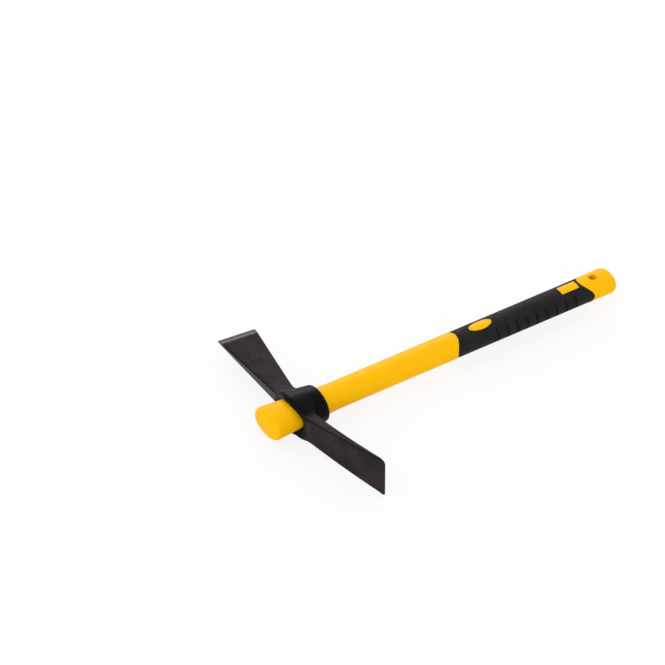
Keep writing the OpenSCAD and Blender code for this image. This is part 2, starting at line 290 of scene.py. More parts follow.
def window_prisms(name, gap, tall):
    """The oval and the square window as upright prisms, grown all round by gap."""
    bm = bmesh.new()
    oval = at_eye(X_OVAL, 0, -tall / 2) @ Matrix.Diagonal((OVAL_L / 2 + gap, OVAL_W / 2 + gap, 1, 1))
    bmesh.ops.create_circle(bm, cap_ends=True, segments=OVAL_SIDES, radius=1, matrix=oval)
    square = at_eye(X_SQUARE, 0, -tall / 2) @ Matrix.Diagonal((SQUARE_L + 2 * gap, SQUARE_W + 2 * gap, 1, 1))
    corners = bmesh.ops.create_grid(bm, x_segments=1, y_segments=1, size=0.5, matrix=square)["verts"]
    bmesh.ops.bevel(bm, geom=corners, offset=SQUARE_R + gap, segments=SQUARE_STEPS, profile=0.5,
                    affect="VERTICES", material=-1)
    top = bmesh.ops.extrude_face_region(bm, geom=bm.faces[:], use_keep_orig=True)["geom"]
    bmesh.ops.translate(bm, verts=[g for g in top if isinstance(g, bmesh.types.BMVert)], vec=(0, 0, tall))
    return as_piece(bm, name)


islands = window_prisms("islands", 0.0, SHAFT_T)
print("islands", len(islands.data.polygons), "faces while they are flat")

# %% [markdown]
# The pads have soft rims and follow the curve of the shaft. Bevelling a curved top is the obvious order,
# but its narrow faces then fold over each other. So the rims are rounded while the tops are flat, which
# keeps the bevel even. Then the prisms are sliced along the handle and bent onto the shaft's oval.

# %% Rounded, bent and joined islands
SHARP, CRISP = math.radians(50), math.radians(25)
ISLAND_RIM, RIM_STEPS = 0.0003, 3
ISLAND_SLICES, SNAP = 15, 0.00002


def round_rims(piece, offset):
    """Rounds the sharp edges of a piece."""
    bm = bmesh.new()
    bm.from_mesh(piece.data)
    rims = [e for e in bm.edges if e.is_manifold and e.calc_face_angle() > SHARP]
    bmesh.ops.bevel(bm, geom=rims, offset=offset, segments=RIM_STEPS, profile=0.5,
                    affect="EDGES", material=-1)
    bm.to_mesh(piece.data)
    bm.free()


def bend_onto_shaft(piece):
    """Slices a flat-topped prism along the handle and lets its top and bottom follow the shaft's oval."""
    bm = bmesh.new()
    bm.from_mesh(piece.data)
    for k in range(1, ISLAND_SLICES):
        y = (k / ISLAND_SLICES - 0.5) * OVAL_W
        bmesh.ops.bisect_plane(bm, geom=bm.verts[:] + bm.edges[:] + bm.faces[:], dist=SNAP,
                               plane_co=EYE + Vector((0, y, 0)), plane_no=(0, 1, 0))
    bmesh.ops.remove_doubles(bm, verts=bm.verts, dist=SNAP)
    for v in bm.verts:
        p = v.co - EYE
        sag = SHAFT_T / 2 * (1 - math.sqrt(1 - (2 * p.y / SHAFT_W) ** 2))
        v.co.z -= math.copysign(sag, p.z)
    bm.to_mesh(piece.data)
    bm.free()


round_rims(islands, ISLAND_RIM)
bend_onto_shaft(islands)
cut(yellow_jacket, islands, "UNION")
print("jacket with islands", len(yellow_jacket.data.polygons), "faces")

# %% [markdown]
# ## The hang hole
# The butt has a hole to hang the tool on a nail, with the soft rims that a mould leaves. A plain drill
# and a bevel along the cut would be the short way, but the rim runs up and down over the oval, and a bevel
# there comes out uneven. So the cutting tool has the rounding in itself: it is a reel, straight in the
# middle and flaring like a trumpet at both ends.

# %% A reel that cuts the hang hole
X_HANG, HANG_R, HANG_SOFT = 0.3425, 0.00425, 0.001
HANG_SIDES, HANG_STEPS = 64, 6
HANG_PROUD, HANG_OPEN = 0.0002, 0.004  # how far the rounding and the reel's ends stand clear of the face


def hang_tool():
    rows = []
    for k in range(HANG_STEPS + 1):
        a = k / HANG_STEPS * math.pi / 2
        height = SHAFT_T / 2 - HANG_SOFT * (1 - math.sin(a)) + HANG_PROUD
        rows.append((height, HANG_R + HANG_SOFT * (1 - math.cos(a))))
    rows.append((SHAFT_T / 2 + HANG_OPEN, HANG_R + HANG_SOFT + HANG_OPEN))
    bm = bmesh.new()
    reel = []
    for z, r in [(-z, r) for z, r in reversed(rows)] + rows:
        made = bmesh.ops.create_circle(bm, segments=HANG_SIDES, radius=r, matrix=at_eye(X_HANG, 0, z))
        reel.append(made["verts"])
    skin(bm, reel)
    for ring in (reel[0], reel[-1]):
        bmesh.ops.contextual_create(bm, geom=ring)
    return as_piece(bm, "hang_tool")


cut(yellow_jacket, hang_tool())
yellow_jacket.data.set_sharp_from_angle(angle=CRISP)
print("jacket with islands and hole", len(yellow_jacket.data.polygons), "faces")

# %% [markdown]
# ## The rubber grip
# The grip is a soft sleeve, moulded over the neck and a little lower than the yellow around it. Its ends
# are rounded, because rubber doesn't fill a sharp corner. It could be a copy of the neck with a Solidify
# modifier, but its inside and its outside need very different meshes: the finger grooves are pressed into
# the outside, and the inside never shows. So it is a closed row of rings, outside and inside, and only
# the outer skin is divided finely.

# %% The grip's sleeve
GRIP_ROUND, BOND = 0.0006, 0.0001  # rounding of the sleeve's ends, and its gap to the jacket
SLEEVE_AROUND, SLEEVE_ROWS = 192, 330
x_front, x_rear = X_GRIP_FRONT + BOND, X_GRIP_REAR - BOND

sleeve = bmesh.new()
in_groove = sleeve.verts.layers.float.new("in_groove")


def sleeve_ring(x, inset, front):
    return bowed_ring(sleeve, x, shaft_size(-inset), front, SLEEVE_AROUND)


start = [sleeve_ring(x_front + GRIP_ROUND * along, GRIP_STEP + GRIP_ROUND * inward, front=True)
         for along, inward in reversed(SOFT_CORNER)]
finish = [sleeve_ring(x_rear - GRIP_ROUND * along, GRIP_STEP + GRIP_ROUND * inward, front=False)
          for along, inward in SOFT_CORNER]
inner = [sleeve_ring(x_rear, neck_in - BOND, front=False), sleeve_ring(x_front, neck_in - BOND, front=True)]
skin(sleeve, start + finish + inner, closed=True)
far_ring = set(finish[0])
lengthways = [e for v in start[-1] for e in v.link_edges if e.other_vert(v) in far_ring]
bmesh.ops.subdivide_edges(sleeve, edges=lengthways, cuts=SLEEVE_ROWS, use_grid_fill=True)
print("sleeve", len(sleeve.faces), "faces")

# %% [markdown]
# ## Finger grooves and windows
# Nine grooves on each side keep the hand from slipping. Each is a lens: two arcs that meet in points above
# and below. They could be cut with eighteen lens-shaped tools, but a cut has hard edges, and moulded
# rubber has soft ones. So every point of the fine outer skin asks how deep the groove is at its place, and
# moves in by that much. The attribute `in_groove` keeps the depth for the material. The windows do have
# crisp edges, so they are cut, last of all.

# %% Grooves and windows
X_GROOVE, GROOVE_PITCH, GROOVE_COUNT = 0.21975, 0.0117, 9
GROOVE_W, GROOVE_H, GROOVE_D, GROOVE_EDGE = 0.004, 0.0195, 0.0012, 0.0008
OUTSIDE = 0.99  # points further out than this share of the sleeve's oval are on its outside
WINDOW_GAP, WINDOW_TALL = 0.00025, 0.03
lens_r = ((GROOVE_W / 2) ** 2 + (GROOVE_H / 2) ** 2) / GROOVE_W


def groove_depth(x, z):
    k = round((x - X_GROOVE) / GROOVE_PITCH)
    if not 0 <= k < GROOVE_COUNT or abs(z) >= GROOVE_H / 2:
        return 0.0
    half_w = math.sqrt(lens_r ** 2 - z * z) - (lens_r - GROOVE_W / 2)
    room = half_w - abs(x - X_GROOVE - k * GROOVE_PITCH)
    s = max(0.0, min(1.0, room / GROOVE_EDGE))
    return GROOVE_D * s * s * (3 - 2 * s)


sleeve_w, sleeve_t = shaft_size(-GRIP_STEP)
for v in sleeve.verts:
    p = v.co - EYE
    if math.hypot(p.y / sleeve_w, p.z / sleeve_t) * 2 > OUTSIDE:
        v[in_groove] = groove_depth(p.x, p.z) / GROOVE_D
        v.co.y -= math.copysign(v[in_groove] * GROOVE_D, p.y)
print("points in the grooves", sum(v[in_groove] > 0 for v in sleeve.verts))
black_grip = as_piece(sleeve, "black_grip", "handle")
cut(black_grip, window_prisms("window_tool", WINDOW_GAP, WINDOW_TALL))
black_grip.data.set_sharp_from_angle(angle=SHARP)
print("grip", len(black_grip.data.polygons), "faces")

# %% [markdown]
# ## The forged head: the eye
# The head is one drop forging: a hot bar of steel, pressed between two dies, with its eye punched through.
# A ring and two blades could be joined by booleans, but their roots would then meet the eye in hard lines,
# and a forging has none. So the head grows out of one ring, and the blades are pulled out of its faces.
# The section of the ring runs round the wall of the eye: from the mouth over the rounded front rim, along
# the outside, and back through the seat.
#
# The front of the eye is scalloped: it reaches further forward above and below the handle than at its
# sides, where the blades spring. `scallop` moves each point along the handle by its angle, and less and
# less towards the rear.

# %% The section of the eye
EYE_LEN, EYE_FIT, EYE_WALL, EYE_FRONT_EXTRA = 0.033, 0.0003, 0.0046, 0.0024
FRONT_ROUND, REAR_ROUND, EYE_MOUTH, RIM_CROWN = 0.004, 0.0018, 0.0014, 0.0003
SIDE_BACK, CHEEK = 0.0014, 0.0046  # the front is set back at the sides, and reaches this much past that
EYE_COLUMNS, EYE_ROWS = 64, 12
EYE_FRONT, EYE_REAR = -EYE_LEN / 2, EYE_LEN / 2
FRONT_TURNS = [math.radians(a) for a in (0, 30, 60)]  # rows round the front rim, before row 0
SOFT = 1 - math.sqrt(0.5)  # how far the middle of a rounded corner stands back, in radii


def wall(x):
    """How far the outside of the eye stands from the handle."""
    return EYE_FIT + EYE_WALL + EYE_FRONT_EXTRA * (EYE_REAR - x) / EYE_LEN


def scallop(x, turn):
    """Where a point at x lies along the handle, turn being its angle from the axe's side."""
    fade = min(1.0, (EYE_REAR - REAR_ROUND - x) / (EYE_LEN - FRONT_ROUND - REAR_ROUND))
    return x + max(0.0, fade) * (SIDE_BACK - CHEEK * math.sin(turn) ** 2)


def eye_profile():
    """Stations along the handle, each with its distance from the handle, in the order of the section."""
    mouth = [(EYE_FRONT + EYE_MOUTH, EYE_FIT), (EYE_FRONT + RIM_CROWN, EYE_FIT + EYE_MOUTH)]
    for turn in FRONT_TURNS:
        x = EYE_FRONT + FRONT_ROUND * (1 - math.cos(turn))
        mouth.append((x, wall(x) - FRONT_ROUND * (1 - math.sin(turn))))
    straight = EYE_LEN - FRONT_ROUND - REAR_ROUND
    outside = [EYE_FRONT + FRONT_ROUND + k / EYE_ROWS * straight for k in range(EYE_ROWS + 1)]
    soft = REAR_ROUND * SOFT
    back = [(EYE_REAR - soft, wall(EYE_REAR) - soft), (EYE_REAR, wall(EYE_REAR) - REAR_ROUND),
            (EYE_REAR - RIM_CROWN, EYE_FIT + EYE_MOUTH), (EYE_REAR - EYE_MOUTH, EYE_FIT), (0.0, EYE_FIT)]
    return mouth, [(x, wall(x)) for x in outside], back


mouth, outside, back = eye_profile()
print("points in the eye's section", len(mouth + outside + back))

# %% [markdown]
# Each point of the ring remembers its row along the handle and its column round the eye. The blades need
# that: a patch of faces is then found by its rows and columns, whatever shape the ring has. Row 0 is the
# first one on the straight outside, and column 0 is in the middle of the axe's side.

# %% The ring of the eye
head = bmesh.new()
row = head.verts.layers.int.new("row")
column = head.verts.layers.int.new("column")
rings = []
for k, (x, stand) in enumerate(mouth + outside + back):
    rings.append(oval_ring(head, x, (2, 2), EYE_COLUMNS))  # a plain circle, only for its angles
    for v in rings[-1]:
        p = v.co - EYE
        turn = math.atan2(p.z, p.y)
        v[row] = k - len(mouth)
        v[column] = round(turn / math.tau * EYE_COLUMNS) % EYE_COLUMNS
        there = scallop(x, turn)
        w, t = handle_size(there, stand)
        v.co = EYE + Vector((there, w / 2 * math.cos(turn), t / 2 * math.sin(turn)))
skin(head, rings, closed=True)
print("ring of the eye", len(head.faces), "faces")

# %% [markdown]
# ## Pulling out the blades
# A smith draws a blade out of the eye's side step by step, and `pull` does the same: it extrudes a patch
# and sets the new points on the next section of the blade. Scaling the extruded faces would be quicker,
# but it can't keep the corners' rounding and the edge's length at the same time. A section here is a
# rounded rectangle: `seat` gives the place of each row or column on it, with one point on every corner's
# arc. `blend_root` then curves the first stretch into the eye as a fillet.
#
# The finish needs to know where on a blade it is, so each point gets three attributes. `from_edge` is its
# distance from the cutting edge, `ridge` marks the corners, and `trimmed` the axe's narrow sides, where
# the flash of the forging was cut off.

# %% Helpers for the blades
BLADE_ROUND, ROUND_SHARE = 0.0014, 0.4  # rounding of the corners, and its limit as a share of the thickness
EDGE_T = 0.0006  # thickness of a cutting edge
FAR = 0.1  # further from a cutting edge than any bevel reaches
from_edge = head.verts.layers.float.new("from_edge")
ridge = head.verts.layers.float.new("ridge")
trimmed = head.verts.layers.float.new("trimmed")
for v in head.verts:
    v[from_edge] = FAR


def patch(rows, columns):
    span = columns[1] - columns[0]
    return [f for f in head.faces if all(
        rows[0] <= v[row] <= rows[1] and (v[column] - columns[0]) % EYE_COLUMNS <= span for v in f.verts)]


def seat(k, last, size, r, on_corner):
    """Place of row or column k on a side of a section, from the side's middle."""
    if 0 < k < last:
        return (size - 2 * r) * ((k - 1) / (last - 2) - 0.5)
    reach = size / 2 - (r * SOFT if on_corner else 0.0)
    return reach if k else -reach


def pull(faces, place):
    """Extrudes a patch to the next section. Gives its new faces and the edges that lead to them."""
    made = bmesh.ops.extrude_face_region(head, geom=faces)["geom"]
    cap = [g for g in made if isinstance(g, bmesh.types.BMFace)]
    bmesh.ops.delete(head, geom=[f for f in faces if f.is_valid], context="FACES")
    points = dict.fromkeys(v for f in cap for v in f.verts)
    rails = [e for v in points for e in v.link_edges if e.other_vert(v) not in points]
    for v in points:
        where, v[from_edge], v[ridge], v[trimmed] = place(v[row], v[column])
        v.co = EYE + where
    return cap, rails


def blend_root(rails, cuts):
    """Curves a blade's root into the eye. No point of a rail leaves the box between its two ends."""
    ends = {(e.verts[0][row], e.verts[0][column]): [v.co.copy() for v in e.verts] for e in rails}
    before = set(head.verts)
    bmesh.ops.subdivide_edgering(head, edges=rails, interp_mode="SURFACE", smooth=1.0, cuts=cuts,
                                 profile_shape="SMOOTH", profile_shape_factor=0.0)
    for v in set(head.verts) - before:
        a, b = ends[v[row], v[column]]
        v.co = [max(min(p, q), min(max(p, q), c)) for p, q, c in zip(a, b, v.co)]


print("attributes for the finish:", ", ".join(layer.name for layer in head.verts.layers.float.values()))

# %% [markdown]
# Both blades are drawn out in the same order: the root, an even row of sections up to the bevel, one more
# just past the bevel's line to keep it crisp, and then the rounded corner at the edge, in steps that come
# closer and closer together. One function does it for both.

# %% From the root to the edge
ROOT_Y = 0.0282  # where the blades' tapers start, from the middle of the eye
CREASE = 0.0004
CORNER_STEPS = (1, 0.6, 0.3, 0.12, 0.03, 0)  # what is left to the edge, in shares of the corner's rounding


def draw_out(faces, section, root_y, bevel_y, reach, corner_r, steps, fillet):
    cap, rails = pull(faces, section(root_y))
    stations = [root_y + k / steps * (bevel_y - root_y) for k in range(1, steps + 1)]
    stations.append(bevel_y + CREASE)
    stations += [reach - corner_r * left for left in CORNER_STEPS]
    for y in stations:
        cap, _ = pull(cap, section(y))
    blend_root(rails, fillet)


print("blades start", ROOT_Y, "m from the middle of the eye")

# %% [markdown]
# ## The axe
# The axe chops roots, so its edge lies in line with the handle. The real blade is thick at the eye, tapers
# to a bevel that is ground from both faces, and widens towards the butt, with its edge raked back a
# little. A thin box with a wedge at its end would do from far off. Here every section is worked out from
# its distance to the edge, so the taper, the bevel and the rounded heel run into each other.

# %% The axe blade
AXE_REACH, AXE_EDGE_L, AXE_RAKE = 0.133, 0.0415, math.radians(6)
AXE_ROOT_W, AXE_ROOT_T, AXE_BEVEL_T, AXE_BEVEL = 0.0205, 0.012, 0.0034, 0.0065
AXE_ROOT, AXE_HEEL = 0.003, 0.0025  # length of the root's fillet, and rounding of the edge's heel
AXE_ROWS, AXE_COLUMNS = (-2, 10), (-6, 6)
AXE_STEPS, AXE_FILLET = 6, 5
AXE_FRONT = EYE_FRONT + 0.0016  # the blade's front starts this far behind the front of the eye


def axe_section(y):
    s = (y - ROOT_Y) / (AXE_REACH - ROOT_Y)
    w = AXE_ROOT_W + (AXE_EDGE_L - AXE_ROOT_W) * s
    t = AXE_ROOT_T + (AXE_BEVEL_T - AXE_ROOT_T) * s
    left = AXE_REACH - y
    if left < AXE_BEVEL:
        t = EDGE_T + (t - EDGE_T) * left / AXE_BEVEL
    if left < AXE_HEEL:
        w -= AXE_HEEL - math.sqrt(AXE_HEEL ** 2 - (AXE_HEEL - left) ** 2)
    r = min(BLADE_ROUND, ROUND_SHARE * t)
    lean = math.tan(AXE_RAKE * s)
    last_row, last_column = AXE_ROWS[1] - AXE_ROWS[0], AXE_COLUMNS[1] - AXE_COLUMNS[0]

    def place(i, j):
        i, j = i - AXE_ROWS[0], (j - AXE_COLUMNS[0]) % EYE_COLUMNS
        on_side = i in (0, last_row)
        on_corner = on_side and j in (0, last_column)
        on = w / 2 + seat(i, last_row, w, r, on_corner)
        where = Vector((AXE_FRONT + on, y - on * lean, seat(j, last_column, t, r, on_corner)))
        return where, left, float(on_corner), float(on_side and not on_corner)

    return place


draw_out(patch(AXE_ROWS, AXE_COLUMNS), axe_section, ROOT_Y + AXE_ROOT, AXE_REACH - AXE_BEVEL,
         AXE_REACH, AXE_HEEL, AXE_STEPS, AXE_FILLET)
print("with the axe", len(head.faces), "faces")

# %% [markdown]
# ## The adze
# The adze digs and scrapes, so it lies across the handle. It droops towards the butt in a shallow curve,
# widens towards its edge and, like a chisel, is ground on one side only: the butt side, so the bevel stays
# off the front face. It could be a bent copy of the axe, but its curve, its two rounded corners and its
# one-sided bevel differ, so it has a section of its own.

# %% The adze blade
ADZE_REACH, ADZE_EDGE_L, ADZE_DROOP, ADZE_BOW = 0.131, 0.0432, 0.0225, 0.0012
ADZE_ROOT_W, ADZE_ROOT_T, ADZE_BEVEL_T, ADZE_BEVEL = 0.028, 0.012, 0.0028, 0.008
ADZE_ROOT, ADZE_CORNER = 0.005, 0.0035  # length of the root's fillet, and rounding of the edge's corners
ADZE_ROWS, ADZE_COLUMNS = (-3, 8), (20, 44)
ADZE_STEPS, ADZE_FILLET = 7, 6
ADZE_FRONT = EYE_FRONT + 0.0004  # likewise


def adze_section(y):
    s = (y - ROOT_Y) / (ADZE_REACH - ROOT_Y)
    lead = ADZE_FRONT + ADZE_DROOP * s - ADZE_BOW * 4 * s * (1 - s)
    w = ADZE_ROOT_W + (ADZE_EDGE_L - ADZE_ROOT_W) * s
    t = ADZE_ROOT_T + (ADZE_BEVEL_T - ADZE_ROOT_T) * s
    left = ADZE_REACH - y
    if left < ADZE_BEVEL:
        t = EDGE_T + (t - EDGE_T) * left / ADZE_BEVEL
    if left < ADZE_CORNER:
        w -= 2 * (ADZE_CORNER - math.sqrt(ADZE_CORNER ** 2 - (ADZE_CORNER - left) ** 2))
    r = min(BLADE_ROUND, ROUND_SHARE * t)
    last_row, last_column = ADZE_ROWS[1] - ADZE_ROWS[0], ADZE_COLUMNS[1] - ADZE_COLUMNS[0]

    def place(i, j):
        i, j = i - ADZE_ROWS[0], (j - ADZE_COLUMNS[0]) % EYE_COLUMNS
        on_corner = i in (0, last_row) and j in (0, last_column)
        x = lead + t / 2 + seat(i, last_row, t, r, on_corner)
        where = Vector((x, -y, -seat(j, last_column, w, r, on_corner)))
        return where, left if i > last_row / 2 else FAR, float(on_corner), 0.0

    return place


draw_out(patch(ADZE_ROWS, ADZE_COLUMNS), adze_section, ROOT_Y + ADZE_ROOT, ADZE_REACH - ADZE_BEVEL,
         ADZE_REACH, ADZE_CORNER, ADZE_STEPS, ADZE_FILLET)
print("with both blades", len(head.faces), "faces")

# %% [markdown]
# ## Soft roots
# Where the adze's rear corners leave the collar, the skin folds into a small pleat. On the forging the
# steel flows round there in a soft fillet. Smoothing the whole head would shrink its edges, so only the
# points round those two corners get a few passes of `smooth_vert`. Then a subdivision surface rounds the
# whole head. It is applied, so that the head holds plain geometry.

# %% Softened pleats and a smooth head
PLEAT, PLEAT_PASSES, PLEAT_FACTOR = 0.007, 6, 0.5  # reach, passes and strength of the smoothing
HEAD_LEVELS = 2

for end in ADZE_COLUMNS:
    rail = [v for v in head.verts if v[row] == ADZE_ROWS[1] and v[column] == end]
    spot = max(rail, key=lambda v: v.co.y).co.copy()
    near = [v for v in head.verts if 0 <= v[row] <= EYE_ROWS and (v.co - spot).length < PLEAT]
    for _ in range(PLEAT_PASSES):
        bmesh.ops.smooth_vert(head, verts=near, factor=PLEAT_FACTOR,
                              use_axis_x=True, use_axis_y=True, use_axis_z=True)
    print("pleat softened over", len(near), "points")
forged_head = as_piece(head, "forged_head", "head")
smooth = forged_head.modifiers.new("smooth", "SUBSURF")
smooth.levels = smooth.render_levels = HEAD_LEVELS
use(forged_head, smooth)
print("head", len(forged_head.data.polygons), "faces")

# %% [markdown]
# ## Standing in for the CAD pieces
# The three pieces that show replace their CAD solids, which stay in the frame unseen, for weight and
# touch. The rod is sealed inside the jacket, so its solid can stay as it is and only gets a material.

# %% Which piece stands for which solid
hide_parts("handle_jacket")
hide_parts("rubber_grip")
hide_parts("mattock_head")
print("modelled again:", ", ".join(piece.name for piece in (yellow_jacket, black_grip, forged_head)))

# %% [markdown]
# ## Moulded grain
# The jacket and the grip come out of moulds whose walls have a fine pebble, which hides small marks. The
# mesh could be displaced, but the pebbles are smaller than its faces. So they are a height for a bump
# node: cells, and noise so that they aren't all alike. Two materials need it, so it is a node group,
# built once and placed with its own scale.
#
# Short helpers keep the wiring readable. `feed` links a socket or sets it. The others add one node, feed
# it and hand back its output.

# %% The group of the moulded grain
FLOAT, VECTOR = "NodeSocketFloat", "NodeSocketVector"


def add(tree, kind, **settings):
    """Adds a shader node and sets those of its settings that are given by name."""
    node = tree.nodes.new("ShaderNode" + kind)
    for key, value in settings.items():
        setattr(node, key, value)
    return node


def feed(tree, socket, value):
    """Links a socket to another node's output, or sets it to a plain value."""
    if isinstance(value, bpy.types.NodeSocket):
        tree.links.new(value, socket)
    else:
        socket.default_value = value


def maths(tree, operation, a, b=0.0):
    node = add(tree, "Math", operation=operation)
    feed(tree, node.inputs[0], a)
    feed(tree, node.inputs[1], b)
    return node.outputs[0]


def noise(tree, vector, scale, detail=2.0, roughness=0.5):
    node = add(tree, "TexNoise")
    for label, value in (("Vector", vector), ("Scale", scale), ("Detail", detail), ("Roughness", roughness)):
        feed(tree, node.inputs[label], value)
    return node.outputs["Fac"]


def group(name, given_label, kind, value, outputs):
    """A node group with a Vector and one more input, and the sockets at its two ends."""
    tree = bpy.data.node_groups.new(name, "ShaderNodeTree")
    tree.interface.new_socket("Vector", in_out="INPUT", socket_type=VECTOR)
    tree.interface.new_socket(given_label, in_out="INPUT", socket_type=kind).default_value = value
    for label in outputs:
        tree.interface.new_socket(label, in_out="OUTPUT", socket_type=FLOAT)
    return tree, tree.nodes.new("NodeGroupInput").outputs, tree.nodes.new("NodeGroupOutput").inputs


grain, given, gives = group("moulded_grain", "Scale", FLOAT, 900.0, ["Height"])
cells = add(grain, "TexVoronoi", feature="SMOOTH_F1")
feed(grain, cells.inputs["Vector"], given["Vector"])
feed(grain, cells.inputs["Scale"], given["Scale"])
pebbles = noise(grain, given["Vector"], given["Scale"])
feed(grain, gives["Height"], maths(grain, "ADD", cells.outputs["Distance"], pebbles))
print("group", grain.name, len(grain.nodes), "nodes")

# %% [markdown]
# ## Slow mottle
# Neither paint nor plastic is of quite one colour: both drift a little, in large patches and in small
# ones. An image could show that, but it needs unwrapping and has an end, and noise has none. The group
# gives a coarse and a fine drift, each from 0 to 1, for the plastic, the rubber and the paint.

# %% The group of the slow mottle
FINER = 7.0  # how much smaller the fine patches are than the coarse ones


def spread(tree, value, low=0.0, high=1.0, to_low=0.0, to_high=1.0):
    """Runs smoothly from to_low to to_high while the value goes from low to high."""
    node = add(tree, "MapRange", interpolation_type="SMOOTHSTEP")
    for label, number in (("From Min", low), ("From Max", high), ("To Min", to_low), ("To Max", to_high)):
        feed(tree, node.inputs[label], number)
    feed(tree, node.inputs["Value"], value)
    return node.outputs["Result"]


mottle, given, gives = group("slow_mottle", "Scale", FLOAT, 40.0, ["Value", "Fine"])
coarse = noise(mottle, given["Vector"], given["Scale"], detail=3.0)
feed(mottle, gives["Value"], spread(mottle, coarse, low=0.3, high=0.7))
finer = maths(mottle, "MULTIPLY", given["Scale"], FINER)
fine = noise(mottle, given["Vector"], finer, detail=4.0, roughness=0.6)
feed(mottle, gives["Fine"], spread(mottle, fine, low=0.3, high=0.7))
print("group", mottle.name, len(mottle.nodes), "nodes")

# %% [markdown]
# ## Scratches
# Grinding marks on the bevels all run one way, and so do the strands of glass in the rod. Each could be a
# thin line of its own, but there are thousands of them. Noise that is stretched along one direction looks
# the same at arm's length.

# %% The group of the scratches
streaks, given, gives = group("scratches", "Stretch", VECTOR, (1, 1, 1), ["Value"])
stretch = add(streaks, "VectorMath", operation="MULTIPLY")
feed(streaks, stretch.inputs[0], given["Vector"])
feed(streaks, stretch.inputs[1], given["Stretch"])
feed(streaks, gives["Value"], noise(streaks, stretch.outputs[0], scale=1.0, detail=3.0, roughness=0.65))
print("group", streaks.name, len(streaks.nodes), "nodes")

# %% [markdown]
# ## Helpers for materials
# Colours are written as the photograph shows them, from 0 to 255, and `tone` turns them into linear light.
# Every material reads Object coordinates, so its pattern rides with the piece. UV maps would do the same,
# but none of these finishes follows a seam or a weave, so no unwrapping is needed.

# %% Material helpers


def tone(r, g, b):
    def linear(c):
        c /= 255
        return c / 12.92 if c <= 0.04045 else ((c + 0.055) / 1.055) ** 2.4
    return linear(r), linear(g), linear(b), 1.0


def material(name, rough, specular):
    """A new material, its nodes, its shader's inputs and its Object coordinates."""
    mat = bpy.data.materials.new(name)
    mat.use_nodes = True
    tree = mat.node_tree
    shader = tree.nodes["Principled BSDF"].inputs
    shader["Roughness"].default_value = rough
    shader["Specular IOR Level"].default_value = specular
    return mat, tree, shader, add(tree, "TexCoord").outputs["Object"]


def run(tree, which, vector, **values):
    """Places a shared group and gives its outputs."""
    node = add(tree, "Group", node_tree=which)
    feed(tree, node.inputs["Vector"], vector)
    for label, value in values.items():
        feed(tree, node.inputs[label], value)
    return node.outputs


def share(tree, value, part):
    return maths(tree, "MULTIPLY", value, part)


def bump(tree, shader, height, strength, distance):
    node = add(tree, "Bump")
    for label, value in (("Strength", strength), ("Distance", distance), ("Height", height)):
        feed(tree, node.inputs[label], value)
    feed(tree, shader["Normal"], node.outputs["Normal"])


print("mid grey in linear light", round(tone(128, 128, 128)[0], 3))

# %% [markdown]
# ## Yellow plastic
# The jacket is a plain moulded plastic, coloured all through. It isn't quite opaque: light enters it and
# comes out again a little further on, which keeps its shaded side warm and not grey. A flat yellow with
# more light on it would look chalky instead, so the shader has some subsurface scattering, with red going
# furthest. Colour and gloss drift slightly, and a fine grain softens the reflections.

# %% The yellow plastic
YELLOW, YELLOW_DEEP = tone(254, 190, 0), tone(253, 184, 0)
MIX_FACTOR, MIX_A, MIX_B, MIX_RESULT = 0, 6, 7, 2  # a Mix node's sockets for colours


def mix(tree, factor, a, b):
    node = add(tree, "Mix", data_type="RGBA")
    for k, value in ((MIX_FACTOR, factor), (MIX_A, a), (MIX_B, b)):
        feed(tree, node.inputs[k], value)
    return node.outputs[MIX_RESULT]


yellow, tree, shader, at = material("yellow_plastic", rough=0.42, specular=0.07)
patchy = run(tree, mottle, at, Scale=28.0)
feed(tree, shader["Base Color"], mix(tree, share(tree, patchy["Value"], 0.5), YELLOW, YELLOW_DEEP))
feed(tree, shader["Roughness"], spread(tree, patchy["Fine"], to_low=0.38, to_high=0.48))
bump(tree, shader, run(tree, grain, at, Scale=1400.0)["Height"], strength=0.10, distance=0.0002)
shader["Subsurface Weight"].default_value = 0.5
shader["Subsurface Radius"].default_value = (1.0, 0.6, 0.1)
shader["Subsurface Scale"].default_value = 0.004
yellow_jacket.data.materials.append(yellow)
print(yellow.name, len(tree.nodes), "nodes")

# %% [markdown]
# ## Black rubber
# The grip is soft black rubber with a matt, pebbled skin. Light hardly gets into its grooves, so shade is
# painted into them and they are darker than the rest. An ambient occlusion node could shade them, but it
# is slow and noisy. The groove's own depth, kept on the points, gives an even painted shade.

# %% The black rubber
RUBBER, RUBBER_LIGHT, GROOVE_PAINTED_SHADE = tone(25, 22, 23), tone(31, 28, 29), tone(9, 8, 8)


def attribute(tree, name):
    return add(tree, "Attribute", attribute_name=name).outputs["Fac"]


rubber, tree, shader, at = material("black_rubber", rough=0.6, specular=0.13)
patchy = run(tree, mottle, at, Scale=60.0)
surface = mix(tree, patchy["Value"], RUBBER, RUBBER_LIGHT)
# Painted shade: the grooves are darkened by their depth, because little light reaches into them.
deep = share(tree, attribute(tree, "in_groove"), 0.85)
feed(tree, shader["Base Color"], mix(tree, deep, surface, GROOVE_PAINTED_SHADE))
feed(tree, shader["Roughness"], spread(tree, patchy["Fine"], to_low=0.55, to_high=0.7))
bump(tree, shader, run(tree, grain, at, Scale=1100.0)["Height"], strength=0.25, distance=0.0003)
black_grip.data.materials.append(rubber)
print(rubber.name, len(tree.nodes), "nodes")

# %% [markdown]
# ## Glass fibre
# The rod is pultruded: strands of glass are drawn through resin and set in one direction. It is hidden in
# the jacket, but someone who takes the part apart will see it. The strands are far too fine to be modelled
# one by one, so the streaks of the shared group run along it, in colour and in bump.

